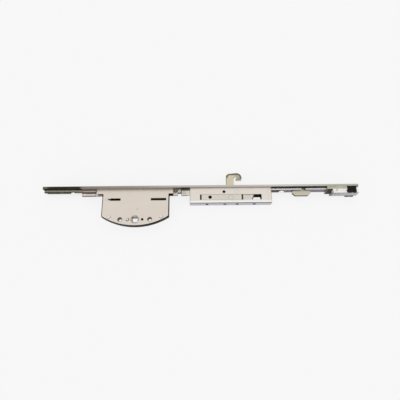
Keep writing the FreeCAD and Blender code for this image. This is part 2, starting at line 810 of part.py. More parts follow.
def make_link_rivets():
    """The flush rivet through the drive slide, the link and the hook slide's tongue."""
    rivets = [pin("link_rivet_%d" % index, place[0], place[1], "-slide_thick / 2", STRIP_TOP, "pin_r")
              for index, place in enumerate(link_rivet_places())]
    return group("slide_link_rivets", rivets)


def make_hook_shell(label, low, cavity_top, is_cover):
    """One pressed half of the hook case, with the long window of the slide. It is open towards
    the faceplate, and its ends are cut away where the slide and the rod pass."""
    owner = body(label)
    shape = sketch(owner, label + "_outline", "XY_Plane", low)
    box_outline(shape, "hook_case_left", HOOK_LOW, "hook_case_right", FACE_IN)
    pad(owner, shape, "hook_thick_case / 2")
    outer = worth("hook_thick_case / 2") * (1 if is_cover else -1)
    top = worth(FACE_IN)

    def outer_edge(edge):
        flat = edge.BoundBox.ZLength < NEAR and abs(edge.BoundBox.ZMin - outer) < NEAR
        return flat and edge.BoundBox.YMin < top - NEAR

    round_edges(owner, outer_edge, "hook_edge_round")
    hollow = sketch(owner, label + "_hollow", "XY_Plane", cavity_top)
    above = "(backset + face_thick)"
    way = "(%s - seat_gap)" % TONGUE_LOW
    right_way = "(%s - seat_gap)" % WINDOW_TOP
    inner_left = "hook_case_left + case_wall"
    inner_right = "hook_case_right - case_wall"
    outline(hollow, [
        (inner_left, "%s + case_wall" % HOOK_LOW),
        (inner_right, "%s + case_wall" % HOOK_LOW),
        (inner_right, right_way),
        ("hook_case_right + case_wall", right_way),
        ("hook_case_right + case_wall", above),
        ("hook_case_left - case_wall", above),
        ("hook_case_left - case_wall", way),
        (inner_left, way),
    ])
    pocket(owner, hollow, "hook_thick_case / 2 - case_wall")
    plate_low = "hook_thick_case / 2 - case_wall" if is_cover else low
    for place in ("hook_tab_first", "hook_tab_second", "hook_tab_third"):
        face_tab(owner, place, plate_low)
    holes = sketch(owner, label + "_holes", "XY_Plane", "0")
    box_outline(holes, "window_left", WINDOW_LOW, "window_right", WINDOW_TOP)
    circle(holes, "pivot_x", PIVOT_Y, "pivot_r")
    if is_cover:
        circle(holes, "cover_hole_x", "%s - cover_hole_drop" % FACE_IN, "cover_hole_r")
    pocket(owner, holes, "hook_thick_case * 3", True)
    return owner


def add_lock_tabs(cover, base):
    """Tabs of the cover stand in notches of the body, flush with its long edge."""
    tabs = sketch(cover, "lock_tabs", "XZ_Plane", "-" + HOOK_LOW)
    notches = sketch(base, "lock_notches", "XZ_Plane", "-%s - case_wall" % HOOK_LOW)
    for place in ("lock_tab_first", "lock_tab_second", "lock_tab_third", "lock_tab_fourth"):
        box_outline(tabs, place + " - lock_tab_wide / 2", "-lock_tab_long",
                    place + " + lock_tab_wide / 2", "lock_tab_long / 4")
        box_outline(notches, place + " - lock_tab_wide / 2 - tab_clear", "-lock_tab_long - tab_clear",
                    place + " + lock_tab_wide / 2 + tab_clear", "lock_tab_long / 4")
    made = cover.newObject("PartDesign::Pad", "lock_tabs_pad")
    made.Profile = tabs
    made.Reversed = True
    made.setExpression("Length", bound("case_wall"))
    pocket(base, notches, "case_wall * 3", True)


def make_hook():
    """The hook with its open fork at 45 degrees below the pivot. The slide's pin runs in the
    fork, which is wide enough for the hook to turn at a steady rate as the pin passes."""
    owner = body("hook")
    shape = sketch(owner, "hook_outline", "XY_Plane", "0")
    deep = "(sqrt(2) / 2 * fork_long)"
    side = "(sqrt(2) / 2 * fork_half)"
    relative = [
        ("-shank_left", "-fork_half / 2"),
        ("-%s - %s" % (deep, side), "-%s + %s" % (deep, side)),
        ("-%s + %s" % (deep, side), "-%s - %s" % (deep, side)),
        ("0", "-hook_boss_r"),
        ("hook_boss_r", "0", "hook_boss_r", 1),
        ("0", "hook_boss_r", "hook_boss_r", 1),
        ("-shank_right", "hook_boss_r + gullet_round"),
        ("-shank_right", GULLET_TOP + " - gullet_round"),
        ("-shank_right + gullet_round", GULLET_TOP, "gullet_round", -1),
        ("gullet_right - gullet_round", GULLET_TOP),
        ("gullet_right", GULLET_TOP + " - gullet_round", "gullet_round", -1),
        ("-tip_left", BEAK_END + " + tip_round / 2"),
        ("-tip_left", BEAK_END),
        ("beak_right - tip_round", BEAK_END),
        ("beak_right", BEAK_END + " + tip_round", "tip_round", 1),
        ("beak_right", "hook_reach - crown_round"),
        ("beak_right - crown_round", "hook_reach", "crown_round", 1),
        ("-shank_left + brow_round", "hook_reach - brow_drop"),
        ("-shank_left", "hook_reach - brow_drop - brow_round", "brow_round", 1),
    ]
    outline(shape, [("pivot_x + " + point[0], PIVOT_Y + " + " + point[1]) + tuple(point[2:])
                    for point in relative])
    pad(owner, shape, "hook_thick", True)
    low = worth("%s + %s" % (PIVOT_Y, BEAK_END))
    gullet = worth("%s + %s + plate_gap" % (PIVOT_Y, GULLET_TOP))
    right = worth("pivot_x + beak_right")

    def showing(edge):
        box = edge.BoundBox
        outer = box.YMax > gullet or box.XMax > right - NEAR
        return box.ZLength < NEAR and box.YMin > low - NEAR and outer

    round_edges(owner, showing, "hook_bevel", "PartDesign::Chamfer", "Size")
    hole = sketch(owner, "hook_holes", "XY_Plane", "0")
    circle(hole, "pivot_x", PIVOT_Y, "pivot_r + running_fit")
    pocket(owner, hole, "hook_thick * 2", True)
    fork = sketch(owner, "fork_slot", "XY_Plane", "0")
    near = "(%s - drive_pin_r - fork_clear)" % PIN_DROP
    half = "(drive_pin_r + fork_clear)"
    lean = "(sqrt(2) / 2)"
    far = "(fork_long + drive_pin_r * 2)"
    corners = [(near, "-"), (far, "-"), (far, ""), (near, "")]
    points = []
    for reach, sign in corners:
        across = "pivot_x - %s * %s %s %s * %s" % (lean, reach, "-" if sign else "+", lean, half)
        up = "%s - %s * %s %s %s * %s" % (PIVOT_Y, lean, reach, "+" if sign else "-", lean, half)
        points.append((across, up))
    outline(fork, points)
    pocket(owner, fork, "hook_thick * 2", True)
    return owner


def make_hook_slide():
    """The thin plate under the hook case's cover. It carries the hook's pin, its left tongue
    is riveted to the link, and its right end rises to the right rod."""
    owner = body("hook_slide")
    plate = sketch(owner, "hook_strip", "XY_Plane", STRIP_LOW)
    low = "(%s - case_wall)" % WINDOW_LOW
    high = "(%s - pivot_r - seat_gap * 2)" % PIVOT_Y
    outline(plate, [
        ("strip_left", low),
        ("strip_end", low),
        ("strip_end + strip_slant", WINDOW_TOP),
        ("riser_right", WINDOW_TOP + " + seat_gap * 2"),
        ("riser_right", ROD_LOW),
        ("riser_left", ROD_LOW),
        ("riser_left", high),
        ("strip_left + tongue_tall", high),
        ("strip_left + tongue_tall", TONGUE_TOP),
        ("tongue_left", TONGUE_TOP),
        ("tongue_left", TONGUE_LOW),
        ("strip_left", TONGUE_LOW),
    ])
    pad(owner, plate, "strip_thick")
    holes = sketch(owner, "strip_holes", "XY_Plane", STRIP_LOW)
    circle(holes, PIN_X, PIN_Y, "drive_pin_r")
    for place in link_rivet_places() + right_across_places():
        circle(holes, place[0], place[1], "pin_r")
    pocket(owner, holes, "strip_thick * 4", True)
    return owner


def make_window_plate():
    """The raised plate that shows in the window, held by the head of the hook's pin."""
    owner = body("window_plate")
    plate = sketch(owner, "raised_plate", "XY_Plane", STRIP_TOP)
    box_outline(plate, "plate_left", "%s + plate_gap" % WINDOW_LOW, "plate_right",
                "%s - plate_gap" % WINDOW_TOP)
    pad(owner, plate, "hook_thick_case / 2 - plate_gap - %s" % STRIP_TOP)
    holes = sketch(owner, "raised_holes", "XY_Plane", STRIP_TOP)
    circle(holes, "plate_hole_x", "%s + window_tall / 2" % WINDOW_LOW, "plate_hole_r")
    circle(holes, PIN_X, PIN_Y, "pin_head_r - plate_gap")
    pocket(owner, holes, "hook_thick_case", True)
    return owner


def make_drive_pin():
    """The stepped pin that turns the hook. Its head sits in the raised plate."""
    place = (PIN_X, PIN_Y)
    made = fused("hook_drive_pin", [
        pin("drive_shank", *place, "-hook_thick / 2", STRIP_TOP, "drive_pin_r"),
        pin("drive_head", *place, STRIP_TOP, "hook_thick_case / 2 - plate_gap", "pin_head_r - plate_gap"),
    ])
    made.Label = "hook_drive_pin"
    return made


def make_pivot_pin():
    """The hook's pivot, riveted through both halves of the hook case."""
    made = pin("hook_pivot_pin", "pivot_x", PIVOT_Y, "-hook_thick_case / 2",
               "hook_thick_case / 2", "pivot_r")
    made.Label = "hook_pivot_pin"
    return made


def right_across_places():
    """The rivets that hold the right connector to the hook slide's rising end."""
    middle = "(%s + seat_gap * 2 + %s) / 2" % (WINDOW_TOP, ROD_LOW)
    return [("right_rod_left - rivet_margin", middle)]


def right_up_place():
    """The rivet up through the right rod into its connector."""
    return "right_rod_left + rivet_margin"


def make_right_connector():
    """The angle piece between the hook slide and the right rod."""
    owner = body("right_connector")
    leg = sketch(owner, "right_leg", "XY_Plane", "%s - connector_thick" % STRIP_LOW)
    box_outline(leg, "right_rod_left - rivet_margin * 2", WINDOW_TOP + " + seat_gap * 2",
                "riser_right", ROD_LOW)
    pad(owner, leg, "connector_thick")
    web = sketch(owner, "right_web", "XZ_Plane", "-" + ROD_LOW)
    box_outline(web, "right_rod_left", "-neck_half", "riser_right", STRIP_LOW)
    pad(owner, web, "connector_thick")
    side = sketch(owner, "right_leg_holes", "XY_Plane", STRIP_LOW)
    for place in right_across_places():
        circle(side, place[0], place[1], "pin_r")
    pocket(owner, side, "connector_thick * 4", True)
    flat = sketch(owner, "right_web_holes", "XZ_Plane", "-" + ROD_LOW)
    circle(flat, right_up_place(), "0", "pin_r")
    pocket(owner, flat, "connector_thick * 4", True)
    return owner


def make_right_rivets():
    """The flush rivets of the right connector, across the slide and up through the rod."""
    rivets = [pin("right_across_%d" % index, place[0], place[1], "%s - connector_thick" % STRIP_LOW,
                  STRIP_TOP, "pin_r") for index, place in enumerate(right_across_places())]
    rivets.append(pin("right_up", right_up_place(), "0", "%s - connector_thick" % ROD_LOW, ROD_TOP,
                      "pin_r", "y"))
    return group("right_connector_rivets", rivets)


def make_right_rod():
    """The flat rod between the hook case and the coupling block."""
    owner = body("right_rod")
    bar = sketch(owner, "right_bar", "XZ_Plane", "-" + ROD_TOP)
    box_outline(bar, "right_rod_left", "-rod_half", "right_rod_end", "rod_half")
    pad(owner, bar, "rod_thick")
    holes = sketch(owner, "right_rod_slot", "XZ_Plane", "rod_thick / 2 - " + ROD_TOP)
    rod_slot(holes, "guide_rivet_right - rod_slot_half - %s" % TRAVEL, "screw_right + rod_slot_half")
    circle(holes, right_up_place(), "0", "pin_r")
    circle(holes, "block_screw_left", "0", "block_screw_r")
    pocket(owner, holes, "rod_thick * 3", True)
    return owner


def make_coupling_block():
    """The block that joins the right rod and the extension rod end to end, with slanted ends
    and a rib that stands between the rods."""
    owner = body("coupling_block")
    shape = sketch(owner, "block_side", "XY_Plane", "0")
    outline(shape, [
        ("block_left + block_slant", BLOCK_LOW),
        ("block_right - block_slant", BLOCK_LOW),
        ("block_right", "(%s + %s) / 2" % (BLOCK_LOW, ROD_LOW)),
        ("block_right", ROD_LOW),
        ("right_rod_end + seat_gap + rib_wide", ROD_LOW),
        ("right_rod_end + seat_gap + rib_wide", "%s + rod_gap / 2" % ROD_TOP),
        ("right_rod_end + seat_gap", "%s + rod_gap / 2" % ROD_TOP),
        ("right_rod_end + seat_gap", ROD_LOW),
        ("block_left", ROD_LOW),
        ("block_left", "(%s + %s) / 2" % (BLOCK_LOW, ROD_LOW)),
    ])
    pad(owner, shape, "block_half * 2", True)
    holes = sketch(owner, "block_holes", "XZ_Plane", "-" + ROD_LOW)
    circle(holes, "block_screw_left", "0", "block_screw_r")
    circle(holes, "block_screw_right", "0", "block_screw_r")
    pocket(owner, holes, "(%s - %s) * 2 - rod_thick * 2" % (ROD_LOW, BLOCK_LOW), True)
    return owner


def make_coupling_screws():
    """Two flush screws down through the rods into the coupling block."""
    screws = [pin("block_screw_%s" % name, place, "0", "%s + rod_thick" % BLOCK_LOW, ROD_TOP,
                  "block_screw_r", "y")
              for name, place in (("a", "block_screw_left"), ("b", "block_screw_right"))]
    return group("coupling_screws", screws)


def make_extension_rod():
    """The last rod, round at its left end. Its right end slides in the end housing."""
    owner = body("extension_rod")
    bar = sketch(owner, "extension_bar", "XZ_Plane", "-" + ROD_TOP)
    box_outline(bar, "extension_left", "-rod_half", "extension_right", "rod_half")
    pad(owner, bar, "rod_thick")
    hole = sketch(owner, "extension_hole", "XZ_Plane", "rod_thick / 2 - " + ROD_TOP)
    circle(hole, "block_screw_right", "0", "block_screw_r")
    pocket(owner, hole, "rod_thick * 3", True)
    end = worth("extension_left")
    round_edges(owner, lambda edge: edge.BoundBox.ZLength < NEAR
                and abs(edge.BoundBox.XMax - end) < NEAR, "rod_end_round")
    return owner


def passage_block(label, left, right, low, half):
    """A block against the faceplate with a flat passage for the rod along it."""
    owner = body(label)
    shape = sketch(owner, label + "_side", "XY_Plane", "0")
    box_outline(shape, left, low, right, FACE_IN)
    pad(owner, shape, half + " * 2", True)
    way = sketch(owner, label + "_passage", "XY_Plane", "0")
    box_outline(way, left + " - seat_gap", "%s - passage_clear" % ROD_LOW,
                right + " + seat_gap", "%s + passage_clear" % ROD_TOP)
    pocket(owner, way, "(rod_half + passage_clear) * 2", True)
    return owner


def make_end_housing():
    """The metal guide that covers the rod's end, with bevelled long edges."""
    owner = passage_block("end_housing", "housing_left", "housing_right", HOUSING_LOW, "housing_half")
    low = worth(HOUSING_LOW)
    side = worth("housing_half")
    round_edges(owner, lambda edge: abs(edge.BoundBox.YMax - low) < NEAR
                and abs(abs(edge.BoundBox.ZMin) - side) < NEAR and edge.BoundBox.ZLength < NEAR,
                "case_edge_round * 2", "PartDesign::Chamfer", "Size")
    holes = sketch(owner, "housing_screws", "XZ_Plane", "-" + HOUSING_LOW)
    for side_sign in ("-", ""):
        circle(holes, "housing_screw_at", side_sign + "end_screw_side", "end_screw_r")
    pocket(owner, holes, "backset", True)
    return owner


def make_end_block():
    """The black plastic guide next to the housing. The bracket lies in its groove."""
    owner = passage_block("end_block", "end_block_left", "end_block_right", END_BLOCK_LOW,
                          "end_block_half")
    groove = sketch(owner, "end_block_groove", "XY_Plane", "0")
    box_outline(groove, "end_block_left - seat_gap", "%s - bracket_thick" % END_BLOCK_LOW,
                "end_block_right + seat_gap", "%s + bracket_thick + passage_clear" % BRACKET_LOW)
    pocket(owner, groove, "(bracket_half + passage_clear) * 2", True)
    holes = sketch(owner, "end_block_screws", "XZ_Plane", "-" + HOUSING_LOW)
    for side_sign in ("-", ""):
        circle(holes, "end_screw_at", side_sign + "end_screw_side", "end_screw_r")
    pocket(owner, holes, "backset", True)
    return owner


def make_end_bracket():
    """The strip behind the housing and the plastic guide, turned up at the end. A step packs
    the space under the housing."""
    owner = body("end_bracket")
    shape = sketch(owner, "bracket_side", "XY_Plane", "0")
    outline(shape, [
        ("bracket_left", BRACKET_LOW),
        ("face_right", BRACKET_LOW),
        ("face_right", FACE_IN),
        ("end_block_right + seat_gap", FACE_IN),
        ("end_block_right + seat_gap", BRACKET_LOW + " + bracket_thick"),
        ("housing_right", BRACKET_LOW + " + bracket_thick"),
        ("housing_right", HOUSING_LOW),
        ("bracket_left", HOUSING_LOW),
    ])
    pad(owner, shape, "bracket_half * 2", True)
    return owner


def make_end_screws():
    """Four small screws up through the housing and the plastic guide to the faceplate."""
    screws = []
    for index, (place, low) in enumerate((("housing_screw_at", HOUSING_LOW),
                                          ("end_screw_at", END_BLOCK_LOW))):
        for name, side in (("a", "-"), ("b", "")):
            screws.append(pin("end_screw_%d%s" % (index, name), place, side + "end_screw_side",
                              low, FACE_IN, "end_screw_r", "y"))
    return group("end_screws", screws)


def make_guide_rivets():
    """Two headed rivets in the faceplate that carry the rods and let them slide."""
    rivets = []
    head_top = "%s - seat_gap" % ROD_LOW
    for name, place in (("left", "-guide_rivet_left"), ("right", "guide_rivet_right")):
        rivets.append(fused("rod_guide_" + name, [
            pin("guide_shank_" + name, place, "0", head_top, "backset", "guide_rivet_r", "y"),
            pin("guide_head_" + name, place, "0", "%s - guide_head_tall" % head_top, head_top,
                "guide_rivet_head", "y"),
        ]))
    return group("rod_guide_rivets", rivets)


faceplate = make_faceplate()
gear_base = make_gear_shell("gear_case_base", "-gear_thick / 2", "0", False)
gear_cover = make_gear_shell("gear_case_cover", "0", "gear_thick / 2 - case_wall", True)
hook_base = make_hook_shell("hook_case_body", "-hook_thick_case / 2", "0", False)
hook_cover = make_hook_shell("hook_case_cover", "0", "hook_thick_case / 2 - case_wall", True)
add_lock_tabs(hook_cover, hook_base)
pieces = [
    faceplate,
    gear_base,
    gear_cover,
    make_gear_rivets(),
    make_sleeves(),
    make_hub(),
    make_drive_slide(),
    make_guide_tabs(),
    make_left_rod(),
    make_left_connector(),
    make_left_rivets(),
    make_slide_link(),
    make_link_rivets(),
    hook_base,
    hook_cover,
    make_hook(),
    make_pivot_pin(),
    make_hook_slide(),
    make_window_plate(),
    make_drive_pin(),
    make_right_connector(),
    make_right_rivets(),
    make_right_rod(),
    make_coupling_block(),
    make_coupling_screws(),
    make_extension_rod(),
    make_end_housing(),
    make_end_block(),
    make_end_bracket(),
    make_end_screws(),
    make_guide_rivets(),
]
doc.recompute()

for thing in doc.Objects:
    if "Invalid" in thing.State or "Error" in thing.State:
        raise ValueError("%s did not build: %s" % (thing.Name, thing.State))
for piece in pieces:
    if piece.Shape.isNull() or not piece.Shape.isValid():
        raise ValueError(piece.Label + " has no valid shape")

os.makedirs("parts", exist_ok=True)
for piece in pieces:
    piece.Shape.exportStep(os.path.join("parts", piece.Label + ".step"))
    box = piece.Shape.BoundBox
    print("%-24s solids %d  x %7.2f %7.2f  y %6.2f %6.2f  z %6.2f %6.2f  volume %8.1f" % (
        piece.Label, len(piece.Shape.Solids), box.XMin, box.XMax, box.YMin, box.YMax,
        box.ZMin, box.ZMax, piece.Shape.Volume))
print("travel %.3f mm" % worth(TRAVEL))
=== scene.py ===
import math

import bpy
from mathutils import Matrix, Vector


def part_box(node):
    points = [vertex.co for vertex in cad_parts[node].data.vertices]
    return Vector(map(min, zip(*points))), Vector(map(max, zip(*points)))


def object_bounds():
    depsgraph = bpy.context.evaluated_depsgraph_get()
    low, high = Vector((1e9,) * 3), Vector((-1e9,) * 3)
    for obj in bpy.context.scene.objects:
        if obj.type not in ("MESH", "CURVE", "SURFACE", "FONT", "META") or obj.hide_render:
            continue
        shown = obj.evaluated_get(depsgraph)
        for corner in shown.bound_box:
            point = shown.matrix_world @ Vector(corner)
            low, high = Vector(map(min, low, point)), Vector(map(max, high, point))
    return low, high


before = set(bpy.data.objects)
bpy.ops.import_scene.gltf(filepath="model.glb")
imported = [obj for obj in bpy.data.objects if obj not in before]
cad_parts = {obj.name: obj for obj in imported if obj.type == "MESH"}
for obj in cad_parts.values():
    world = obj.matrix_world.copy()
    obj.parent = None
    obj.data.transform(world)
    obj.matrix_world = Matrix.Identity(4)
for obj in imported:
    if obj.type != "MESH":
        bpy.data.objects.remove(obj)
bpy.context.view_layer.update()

# Faceplate.
# A long strip of rolled steel with sheared edges, zinc plated. It is darker at the gear case's
# end and brighter towards the hook, and the side that faces the rods carries painted shade and grime.


class Sum:
    """One output socket of a material's node tree, with Python's operators for its maths."""

    def __init__(self, tree, socket):
        self.tree = tree
        self.socket = socket

    def math(self, operation, *others):
        """A Math node on this value and the others."""
        node = self.tree.nodes.new("ShaderNodeMath")
        node.operation = operation
        for place, value in zip(node.inputs, (self,) + others):
            self.plug(place, value)
        return Sum(self.tree, node.outputs[0])

    def plug(self, place, value):
        """Links a value made by nodes to a socket, or writes a plain one there."""
        if isinstance(value, Sum):
            self.tree.links.new(value.socket, place)
        else:
            place.default_value = value

    def __add__(self, other):
        return self.math("ADD", other)

    def __radd__(self, other):
        return self.math("ADD", other)

    def __sub__(self, other):
        return self.math("SUBTRACT", other)

    def __rsub__(self, other):
        return (self * -1).math("ADD", other)

    def __mul__(self, other):
        return self.math("MULTIPLY", other)

    def __rmul__(self, other):
        return self.math("MULTIPLY", other)

    def clamp(self):
        """The value held between 0 and 1."""
        return self.math("MAXIMUM", 0.0).math("MINIMUM", 1.0)

    def make(self, kind, output=0, settings=None, stops=None, **inputs):
        """Any other node: its settings and ramp stops first, then its inputs by name."""
        node = self.tree.nodes.new(kind)
        for name, value in (settings or {}).items():
            setattr(node, name, value)
        if stops:
            ramp = node.color_ramp
            while len(ramp.elements) < len(stops):
                ramp.elements.new(1.0)
            for element, (place, colour) in zip(ramp.elements, stops):
                element.position = place
                element.color = colour + (1.0,)
        for name, value in inputs.items():
            wanted = name.replace("_", " ")
            place = [socket for socket in node.inputs if socket.name == wanted and socket.enabled][0]
            self.plug(place, value)
        return Sum(self.tree, node.outputs[output])

    def axis(self, index):
        """One of a vector's three numbers."""
        return self.make("ShaderNodeSeparateXYZ", output=index, Vector=self)

    def above(self, limit, soft):
        """0 below a limit and 1 above it, with a soft step as wide as given."""
        return ((self - limit) * (1.0 / soft) + 0.5).clamp()

    def within(self, low, high, soft):
        """1 between two limits, with soft steps at both."""
        return self.above(low, soft) * (1.0 - self.above(high, soft))


def mixed(base, over, share):
    """One colour laid over another, by a mask."""
    return share.make("ShaderNodeMix", output=2, settings={"data_type": "RGBA"}, Factor=share,
                      A=base, B=over)


def shaded(colour, level):
    """A colour made lighter or darker by a value."""
    grey = level.make("ShaderNodeCombineXYZ", X=level, Y=level, Z=level)
    return level.make("ShaderNodeMix", output=2,
                      settings={"data_type": "RGBA", "blend_type": "MULTIPLY"}, Factor=1.0,
                      A=colour, B=grey)


# The dark colour laid over the plated steel: oil and soiling, and also painted shade in hollows, under
# parts and on sides turned from the light.
OIL_AND_SHADE = (0.022, 0.019, 0.013, 1.0)


def plated(name, colour, rough, grain=(40.0, 900.0, 900.0), streaks=0.04, cloudy=0.07,
           marks=None):
    """Zinc plated steel: cloudy plating, fine marks along its length, small pits. The grain
    gives how fast the marks change along X, Y and Z. The colour is one value or a function of
    place and normal, and marks gives, from the same two, the mask of soiling and painted shade,
    and the worn tone with painted shade."""
    material = bpy.data.materials.new(name)
    material.use_nodes = True
    tree = material.node_tree
    shader = tree.nodes["Principled BSDF"]
    source = tree.nodes.new("ShaderNodeTexCoord")
    place = Sum(tree, source.outputs["Object"])
    facing = Sum(tree, source.outputs["Normal"])
    brushed = place.make("ShaderNodeMapping", Vector=place, Scale=grain)
    fine = place.make("ShaderNodeTexNoise", Vector=brushed, Scale=1.0, Detail=4.0, Roughness=0.6)
    cloud = place.make("ShaderNodeTexNoise", Vector=place, Scale=55.0, Detail=3.0)
    haze = place.make("ShaderNodeTexNoise", Vector=place, Scale=17.0, Detail=1.0)
    pits = place.make("ShaderNodeTexNoise", Vector=place, Scale=1400.0, Detail=2.0)
    level = 1.0 + (fine - 0.5) * (2 * streaks) + (cloud - 0.5) * (2 * cloudy)
    level = level + (haze - 0.5) * 0.1 - pits.above(0.66, 0.12) * 0.1
    base = colour(place, facing) if callable(colour) else colour + (1.0,)
    roughness = rough + (cloud - 0.5) * 0.14 + (fine - 0.5) * 0.10
    if marks:
        grime_and_shade, wear_and_shade = marks(place, facing)
        dirt_and_shade = (grime_and_shade + (cloud - 0.5) * grime_and_shade * 0.25).clamp()
        paint = mixed(shaded(base, level * wear_and_shade), OIL_AND_SHADE, dirt_and_shade)
        roughness = roughness + dirt_and_shade * 0.2
    else:
        paint = shaded(base, level)
    tree.links.new(paint.socket, shader.inputs["Base Color"])
    tree.links.new(roughness.clamp().socket, shader.inputs["Roughness"])
    shader.inputs["Metallic"].default_value = 1.0
    raised = place.make("ShaderNodeBump", Strength=0.2, Distance=0.0002,
                        Height=fine * 0.6 + pits * 0.4)
    tree.links.new(raised.socket, shader.inputs["Normal"])
    return material


def dress(names, material):
    """Gives CAD pieces their finish."""
    for name in names:
        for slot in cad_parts[name].material_slots:
            slot.material = material


def inner_side(facing):
    """The sides that face away from the hook's reach, as the faceplate's inner one does."""
    return (facing.axis(1) * -1).above(0.5, 0.2)


def near_side(facing):
    """The sides that face the handle."""
    return facing.axis(2).above(0.5, 0.2)


FACE_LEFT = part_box("faceplate")[0][0]
FACE_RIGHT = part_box("faceplate")[1][0]
PLATING_ALONG = [(0.0, (0.20, 0.19, 0.155)), (0.28, (0.37, 0.35, 0.31)),
                 (0.42, (0.55, 0.53, 0.48)), (0.76, (0.70, 0.66, 0.61)),
                 (1.0, (0.52, 0.51, 0.41))]
INNER_PLATING = (0.55, 0.49, 0.44, 1.0)
CONNECTOR_LEFT = -0.081
CASES_RIGHT = 0.1995
BETWEEN_CASES = (0.0547, 0.0792)
GRIMY_FROM = -0.129
BRIGHT_LINE = 0.0494


def strip_colour(place, facing):
    """The strip's colour, from dark at the left to bright past the hook case, with the inner side's own
    colour.
    """
    along = (place.axis(0) - FACE_LEFT) * (1.0 / (FACE_RIGHT - FACE_LEFT))
    plating = along.make("ShaderNodeValToRGB", Fac=along, stops=PLATING_ALONG)
    return mixed(plating, INNER_PLATING, inner_side(facing))


def strip_marks(place, facing):
    """Painted shade and soiling on the inner side past the cases, less between them, and soiling on the
    edge at the left.
    """
    along = place.axis(0)
    by_cases = along.within(CONNECTOR_LEFT, CASES_RIGHT, 0.001) \
        - along.within(*BETWEEN_CASES, 0.001) * 0.4
    far_left = along.within(GRIMY_FROM, CONNECTOR_LEFT, 0.006)
    edge = (1.0 - place.axis(1).above(BRIGHT_LINE, 0.0006)) * near_side(facing)
    grime_and_shade = inner_side(facing) * (0.92 - by_cases * 0.62) + far_left * edge * 0.9
    return grime_and_shade.clamp(), 1.0 - far_left * 0.1


dress(["faceplate"], plated("strip_plating", strip_colour, 0.42, marks=strip_marks))

# Gear case.
# Two pressed shells of sheet steel, zinc plated with a warm cast and faintly brushed. Painted shade
# lies along the rim, inside, in the slots, in lines at the sides and in a dimple; each rivet has a faint
# ring with a painted shadow on its lower right, and the press left a ring round each slot.

CASE_STEEL = (0.83, 0.755, 0.675)
CASE_INSIDE = 0.0034
SLOT_X = 0.0334
SLOT_Y = 0.0308
SLOT_HALF = (0.0106, 0.0012)
TAB_ENDS = (-0.0445, -0.0372)
TAB_HEIGHTS = (0.028, 0.034)
# Places of the rings, each with a painted shadow on its lower right; the third, left of the hub, holds
# no rivet, and the painted ring there stands alone.
RIVET_PLACES = [(-0.0377, 0.0042), (0.0377, 0.0042), (-0.01075, 0.0)]
CASE_HALF = 0.049
CASE_HEIGHTS = (-0.02, 0.0465)
SIDE_LINE = 0.0012
EAR_LOW = 0.0395
DIMPLE = (0.0028, 0.0155)
DIMPLE_RADIUS = 0.0006


def distance(place, x, y):
    """How far a place is from a point, seen along Z."""
    across = place.axis(0) - x
    up = place.axis(1) - y
    return (across * across + up * up).math("SQRT")


def slot_distance(place, x):
    """How far a place is from a slot's edge."""
    across = ((place.axis(0) - x).math("ABSOLUTE") - SLOT_HALF[0]).math("MAXIMUM", 0.0)
    up = ((place.axis(1) - SLOT_Y).math("ABSOLUTE") - SLOT_HALF[1]).math("MAXIMUM", 0.0)
    return (across * across + up * up).math("SQRT")


def gear_case_marks(place, facing):
    """Painted shade on the rim, inside, in the slots, in lines at the sides and in the dimple, faint
    rings with a painted shadow on their lower right round the rivets, and rings round the slots.
    """
    level_face = facing.axis(2).math("ABSOLUTE").above(0.85, 0.1)
    inside = 1.0 - place.axis(2).math("ABSOLUTE").above(CASE_INSIDE, 0.0002)
    by_tab = place.axis(0).within(*TAB_ENDS, 0.0004) * place.axis(1).within(*TAB_HEIGHTS, 0.0004)
    rim = (1.0 - level_face) * place.axis(1).within(*CASE_HEIGHTS, 0.0004) * (1.0 - by_tab)
    sides = place.axis(0).math("ABSOLUTE").above(CASE_HALF - SIDE_LINE, 0.0005) \
        * (1.0 - place.axis(1).above(EAR_LOW, 0.0004))
    grime_and_shade = (inside * 0.9 + rim + sides * 0.9).clamp()
    wear_and_shade = 1.0 - inside * 0.3
    for x, y in RIVET_PLACES:
        ring = distance(place, x, y).within(0.0017, 0.0027, 0.0004)
        lower_right = ((place.axis(0) - x) - (place.axis(1) - y)).above(-0.0008, 0.002)
        grime_and_shade = (grime_and_shade + ring * (lower_right * 0.75 + 0.2) * level_face).clamp()
    clear_of_tab = place.axis(0).above(TAB_ENDS[1], 0.0006)
    for x in (-SLOT_X, SLOT_X):
        edge = slot_distance(place, x)
        grime_and_shade = (grime_and_shade + (1.0 - edge.above(0.0006, 0.0003)) * clear_of_tab * 1.3).clamp()
        wear_and_shade = wear_and_shade * (1.0 - edge.within(0.0009, 0.0019, 0.0008) * 0.06)
    # The dimple is a painted spot of shade with no hollow in the shape, with a faint ring round it.
    dimple = distance(place, *DIMPLE)
    grime_and_shade = (grime_and_shade + (1.0 - dimple.above(DIMPLE_RADIUS, 0.0004)) * 0.6).clamp()
    wear_and_shade = wear_and_shade * (1.0 - dimple.within(1.5 * DIMPLE_RADIUS, 3 * DIMPLE_RADIUS, 0.0004) * 0.05)
    seam = place.axis(1).within(0.0462, 0.0468, 0.0003)
    return grime_and_shade, wear_and_shade * (1.0 - seam * 0.25)


dress(["gear_case_base", "gear_case_cover"],
      plated("gear_case_plating", CASE_STEEL, 0.40, cloudy=0.04, marks=gear_case_marks))

# Rivets and screws.
# Plated steel, turned and then closed flush or with a flat head. The heads that the rods slide
# under are rubbed bright, and the small screws are dull.

ROUND_GRAIN = (600.0, 600.0, 600.0)
dress(["gear_case_rivets", "left_connector_rivets", "right_connector_rivets"],
      plated("rivet_plating", (0.86, 0.81, 0.74), 0.32, grain=ROUND_GRAIN))
dress(["rod_guide_rivets"],
      plated("bright_rivet_plating", (0.96, 0.95, 0.92), 0.3, grain=ROUND_GRAIN))
dress(["coupling_screws", "end_screws"],
      plated("dull_rivet_plating", (0.30, 0.29, 0.23), 0.42, grain=ROUND_GRAIN, cloudy=0.25))

